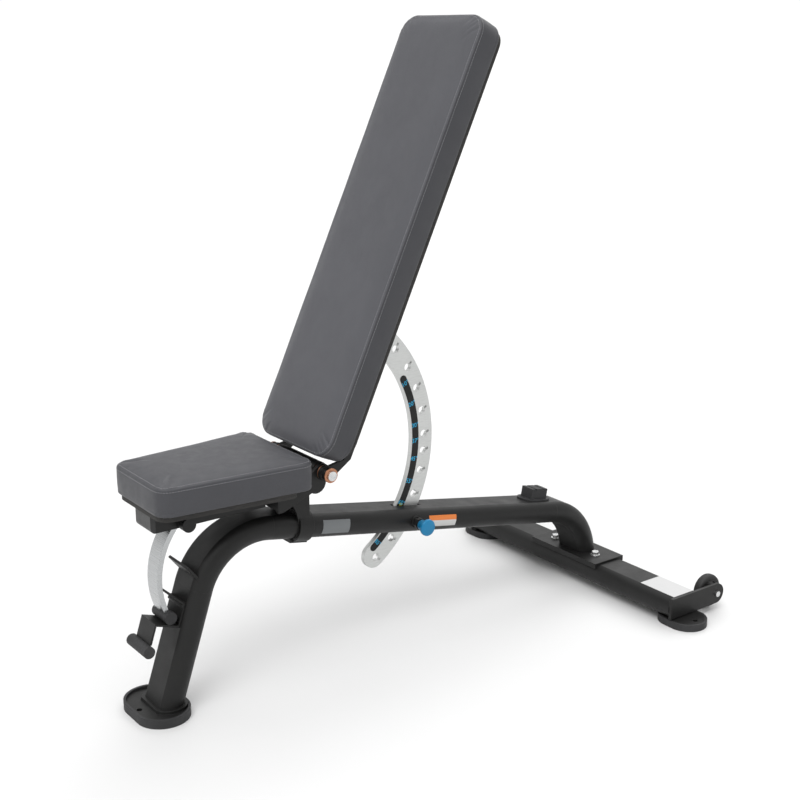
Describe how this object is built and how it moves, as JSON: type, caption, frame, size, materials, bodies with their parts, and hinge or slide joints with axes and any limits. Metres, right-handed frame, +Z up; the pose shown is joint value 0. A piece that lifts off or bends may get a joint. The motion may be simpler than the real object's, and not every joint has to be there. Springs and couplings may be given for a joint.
{
  "type": "adjustable weight bench",
  "caption": "Adjustable weight bench on a bent flat-oval tube frame, with a ladder seat strut, a drilled arc plate and spring pin for the back, three bolt-down feet and transport wheels",
  "frame": {"origin": "on the floor, midway along and across the bench, under the middle of its bounding box", "axes": "+X towards the wheels at the rear, +Y to the left of a sitter facing the front, +Z up"},
  "size_m": [1.29, 0.778, 1.2756],
  "materials": {
    "frame_paint": "satin black powder coat with a fine texture",
    "foot_rubber": "matt dark moulded rubber",
    "wheel_rubber": "black solid wheel rubber",
    "black_plastic": "matt black moulded plastic",
    "zinc": "bright zinc-plated steel",
    "plate_steel": "light silver-grey satin metal",
    "bronze": "plain oil-filled bronze",
    "knob_blue": "blue anodised or moulded, softly glossy",
    "vinyl": "grey upholstery vinyl with a fine woven emboss",
    "board_ply": "black-stained plywood",
    "label_film": "pale printed film",
    "label_orange": "orange and white printed film",
    "strip_black": "black printed film"
  },
  "bodies": {
    "frame": {"front_foot_pad": "foot_rubber", "front_foot_plate": "frame_paint", "front_leg_tube": "frame_paint", "front_bend_tube": "frame_paint", "spine_tube": "frame_paint", "rear_bend_tube": "frame_paint", "rear_crossbar": "frame_paint", "rear_saddle": "frame_paint", "saddle_bolts": "zinc", "saddle_washers": "zinc", "wheel_bracket_right": "frame_paint", "wheel_bracket_left": "frame_paint", "rear_foot_pad_right": "foot_rubber", "rear_foot_pad_left": "foot_rubber", "rear_foot_plates": "frame_paint", "axle_bolts": "zinc", "wheel_spacers": "black_plastic", "rest_block": "foot_rubber", "hinge_post": "frame_paint", "hinge_pin": "zinc", "hinge_screws": "zinc", "pin_barrel": "frame_paint", "pin_collar": "frame_paint", "ladder": "frame_paint", "upper_hook": "frame_paint", "lift_handle": "foot_rubber", "name_plate": "label_film", "spine_label": "label_orange", "crossbar_label": "label_film"},
    "back": {"back_beam": "frame_paint", "back_beam_caps": "black_plastic", "back_cross_tube": "frame_paint", "back_lug_right": "frame_paint", "back_lug_left": "frame_paint", "back_bushes": "bronze", "adjuster_plate": "plate_steel", "angle_strip": "strip_black", "back_rail_bars": "frame_paint", "back_board": "board_ply", "back_pad": "vinyl", "back_bolts": "zinc"},
    "seat": {"seat_tube": "frame_paint", "seat_tube_cap": "black_plastic", "seat_lug_right": "frame_paint", "seat_lug_left": "frame_paint", "seat_bushes": "bronze", "seat_rail_bars": "frame_paint", "seat_board": "board_ply", "seat_pad": "vinyl", "seat_bolts": "zinc", "strut_pin": "frame_paint"},
    "seat_strut": {"strut": "plate_steel", "strut_roller": "foot_rubber"},
    "pull_pin": {"lock_pin": "zinc", "pin_knob": "knob_blue", "pin_spring": "zinc"},
    "wheel_right": {"wheel_tyre_right": "wheel_rubber", "wheel_hub_right": "black_plastic"},
    "wheel_left": {"wheel_tyre_left": "wheel_rubber", "wheel_hub_left": "black_plastic"}
  },
  "joints": [
    {"name": "back_hinge", "type": "hinge", "parent": "frame", "child": "back", "pos_m": [-0.258, 0, 0.4327], "axis": [0, 1, 0], "range_deg": [-20, 75]},
    {"name": "seat_hinge", "type": "hinge", "parent": "frame", "child": "seat", "pos_m": [-0.258, 0, 0.4327], "axis": [0, 1, 0], "range_deg": [0, 20.5]},
    {"name": "strut_hinge", "type": "hinge", "parent": "seat", "child": "seat_strut", "pos_m": [-0.535, 0, 0.38], "axis": [0, 1, 0], "range_deg": [-16.4, 0]},
    {"name": "pin_slide", "type": "slide", "parent": "frame", "child": "pull_pin", "axis": [0, -1, 0], "range_m": [0, 0.014], "stiffness_N_per_m": 800, "springref_m": -0.01},
    {"name": "wheel_axle_right", "type": "hinge", "parent": "frame", "child": "wheel_right", "pos_m": [0.609, -0.311, 0.042], "axis": [0, 1, 0], "continuous": true},
    {"name": "wheel_axle_left", "type": "hinge", "parent": "frame", "child": "wheel_left", "pos_m": [0.609, 0.311, 0.042], "axis": [0, 1, 0], "continuous": true}
  ],
  "couplings": [
    {"joint": "strut_hinge", "follows": "seat_hinge", "ratio": -0.8}
  ]
}
